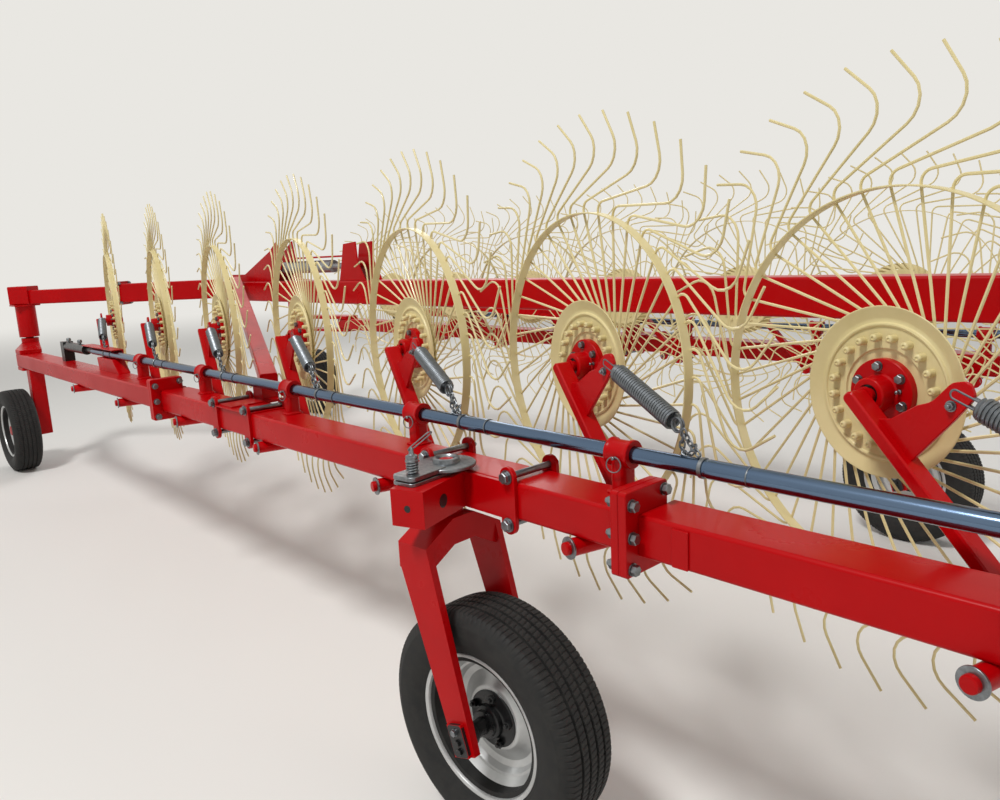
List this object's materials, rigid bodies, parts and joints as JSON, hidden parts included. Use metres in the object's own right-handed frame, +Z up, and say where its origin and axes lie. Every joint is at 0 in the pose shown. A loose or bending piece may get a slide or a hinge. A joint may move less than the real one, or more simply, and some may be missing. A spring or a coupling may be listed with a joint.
{
  "type": "wheel rake",
  "caption": "Towed V wheel rake folded for the road: two long arms of toothed raking wheels on casters, a central spine with a drawbar, and rear road wheels.",
  "frame": {"origin": "on the ground, at the middle of the machine's length and width, folded as parked", "axes": "+X forward to the tractor, +Y to the machine's left, +Z up"},
  "size_m": [9.539, 3.4878, 2.0152],
  "materials": {
    "red_enamel": "glossy red enamel",
    "wheel_enamel": "glossy cream enamel",
    "tyre": "black road tyre",
    "silver_enamel": "silver enamel",
    "zinc": "dull zinc plating",
    "bright_steel": "bright drawn bar",
    "black_enamel": "black enamel",
    "grey_enamel": "grey enamel"
  },
  "bodies": {
    "chassis": {"spine": "red_enamel", "drawbar": "red_enamel", "hitch_clevis": "red_enamel", "jack_tube": "red_enamel", "fold_towers": "red_enamel", "fold_cylinder": "grey_enamel", "outrigger_right": "red_enamel", "outrigger_left": "red_enamel", "kingpost_right": "red_enamel", "kingpost_left": "red_enamel"},
    "jack_leg": {"jack_leg": "red_enamel"},
    "arm_right": {"beam_right": "red_enamel", "crank_arms_right": "red_enamel", "lift_shaft_right": "bright_steel", "lift_cylinder_right": "black_enamel", "float_springs_right": "zinc", "transport_brace_right": "red_enamel", "brace_bracket_right": "red_enamel", "caster_bracket_right": "red_enamel", "caster_lock_right": "zinc"},
    "caster_fork_right": {"caster_fork_right": "red_enamel"},
    "caster_wheel_right": {"caster_tyre_right": "tyre", "caster_rim_right": "silver_enamel"},
    "rear_wheel_right": {"rear_tyre_right": "tyre", "rear_rim_right": "silver_enamel"},
    "rake_wheel_right_1": {"rake_wheel_right_1": "wheel_enamel"},
    "rake_wheel_right_2": {"rake_wheel_right_2": "wheel_enamel"},
    "rake_wheel_right_3": {"rake_wheel_right_3": "wheel_enamel"},
    "rake_wheel_right_4": {"rake_wheel_right_4": "wheel_enamel"},
    "rake_wheel_right_5": {"rake_wheel_right_5": "wheel_enamel"},
    "rake_wheel_right_6": {"rake_wheel_right_6": "wheel_enamel"},
    "rake_wheel_right_7": {"rake_wheel_right_7": "wheel_enamel"},
    "arm_left": {"beam_left": "red_enamel", "crank_arms_left": "red_enamel", "lift_shaft_left": "bright_steel", "lift_cylinder_left": "black_enamel", "float_springs_left": "zinc", "transport_brace_left": "red_enamel", "brace_bracket_left": "red_enamel", "caster_bracket_left": "red_enamel", "caster_lock_left": "zinc"},
    "caster_fork_left": {"caster_fork_left": "red_enamel"},
    "caster_wheel_left": {"caster_tyre_left": "tyre", "caster_rim_left": "silver_enamel"},
    "rear_wheel_left": {"rear_tyre_left": "tyre", "rear_rim_left": "silver_enamel"},
    "rake_wheel_left_1": {"rake_wheel_left_1": "wheel_enamel"},
    "rake_wheel_left_2": {"rake_wheel_left_2": "wheel_enamel"},
    "rake_wheel_left_3": {"rake_wheel_left_3": "wheel_enamel"},
    "rake_wheel_left_4": {"rake_wheel_left_4": "wheel_enamel"},
    "rake_wheel_left_5": {"rake_wheel_left_5": "wheel_enamel"},
    "rake_wheel_left_6": {"rake_wheel_left_6": "wheel_enamel"},
    "rake_wheel_left_7": {"rake_wheel_left_7": "wheel_enamel"}
  },
  "joints": [
    {"name": "jack_slide", "type": "slide", "parent": "chassis", "child": "jack_leg", "axis": [0, 0, 1], "range_m": [0, 0.35]},
    {"name": "arm_right_fold", "type": "hinge", "parent": "chassis", "child": "arm_right", "pos_m": [-4.375, -1.25, 1], "axis": [0, 0, -1], "range_deg": [0, 38]},
    {"name": "caster_right_swivel", "type": "hinge", "parent": "arm_right", "child": "caster_fork_right", "pos_m": [1.545, -1.535, 1], "axis": [0, 0, 1], "continuous": true},
    {"name": "caster_right_roll", "type": "hinge", "parent": "caster_fork_right", "child": "caster_wheel_right", "pos_m": [1.69463, -1.52454, 0.3445], "axis": [-0.0698, 0.9976, 0], "continuous": true},
    {"name": "rear_right_roll", "type": "hinge", "parent": "chassis", "child": "rear_wheel_right", "pos_m": [-4.425, -1.43, 0.3445], "axis": [0, 1, 0], "continuous": true},
    {"name": "rake_right_1_turn", "type": "hinge", "parent": "arm_right", "child": "rake_wheel_right_1", "pos_m": [2.575, -1.15, 1.315], "axis": [-0.2424, -0.9702, 0], "continuous": true},
    {"name": "rake_right_2_turn", "type": "hinge", "parent": "arm_right", "child": "rake_wheel_right_2", "pos_m": [1.737, -1.15, 1.315], "axis": [-0.2424, -0.9702, 0], "continuous": true},
    {"name": "rake_right_3_turn", "type": "hinge", "parent": "arm_right", "child": "rake_wheel_right_3", "pos_m": [0.899, -1.15, 1.315], "axis": [-0.2424, -0.9702, 0], "continuous": true},
    {"name": "rake_right_4_turn", "type": "hinge", "parent": "arm_right", "child": "rake_wheel_right_4", "pos_m": [0.061, -1.15, 1.315], "axis": [-0.2424, -0.9702, 0], "continuous": true},
    {"name": "rake_right_5_turn", "type": "hinge", "parent": "arm_right", "child": "rake_wheel_right_5", "pos_m": [-0.777, -1.15, 1.315], "axis": [-0.2424, -0.9702, 0], "continuous": true},
    {"name": "rake_right_6_turn", "type": "hinge", "parent": "arm_right", "child": "rake_wheel_right_6", "pos_m": [-1.615, -1.15, 1.315], "axis": [-0.2424, -0.9702, 0], "continuous": true},
    {"name": "rake_right_7_turn", "type": "hinge", "parent": "arm_right", "child": "rake_wheel_right_7", "pos_m": [-2.453, -1.15, 1.315], "axis": [-0.2424, -0.9702, 0], "continuous": true},
    {"name": "arm_left_fold", "type": "hinge", "parent": "chassis", "child": "arm_left", "pos_m": [-4.375, 1.25, 1], "axis": [0, 0, 1], "range_deg": [0, 38]},
    {"name": "caster_left_swivel", "type": "hinge", "parent": "arm_left", "child": "caster_fork_left", "pos_m": [1.545, 1.535, 1], "axis": [0, 0, 1], "continuous": true},
    {"name": "caster_left_roll", "type": "hinge", "parent": "caster_fork_left", "child": "caster_wheel_left", "pos_m": [1.69463, 1.52454, 0.3445], "axis": [0.0698, 0.9976, 0], "continuous": true},
    {"name": "rear_left_roll", "type": "hinge", "parent": "chassis", "child": "rear_wheel_left", "pos_m": [-4.425, 1.43, 0.3445], "axis": [0, 1, 0], "continuous": true},
    {"name": "rake_left_1_turn", "type": "hinge", "parent": "arm_left", "child": "rake_wheel_left_1", "pos_m": [2.575, 1.15, 1.315], "axis": [-0.2424, 0.9702, 0], "continuous": true},
    {"name": "rake_left_2_turn", "type": "hinge", "parent": "arm_left", "child": "rake_wheel_left_2", "pos_m": [1.737, 1.15, 1.315], "axis": [-0.2424, 0.9702, 0], "continuous": true},
    {"name": "rake_left_3_turn", "type": "hinge", "parent": "arm_left", "child": "rake_wheel_left_3", "pos_m": [0.899, 1.15, 1.315], "axis": [-0.2424, 0.9702, 0], "continuous": true},
    {"name": "rake_left_4_turn", "type": "hinge", "parent": "arm_left", "child": "rake_wheel_left_4", "pos_m": [0.061, 1.15, 1.315], "axis": [-0.2424, 0.9702, 0], "continuous": true},
    {"name": "rake_left_5_turn", "type": "hinge", "parent": "arm_left", "child": "rake_wheel_left_5", "pos_m": [-0.777, 1.15, 1.315], "axis": [-0.2424, 0.9702, 0], "continuous": true},
    {"name": "rake_left_6_turn", "type": "hinge", "parent": "arm_left", "child": "rake_wheel_left_6", "pos_m": [-1.615, 1.15, 1.315], "axis": [-0.2424, 0.9702, 0], "continuous": true},
    {"name": "rake_left_7_turn", "type": "hinge", "parent": "arm_left", "child": "rake_wheel_left_7", "pos_m": [-2.453, 1.15, 1.315], "axis": [-0.2424, 0.9702, 0], "continuous": true}
  ]
}
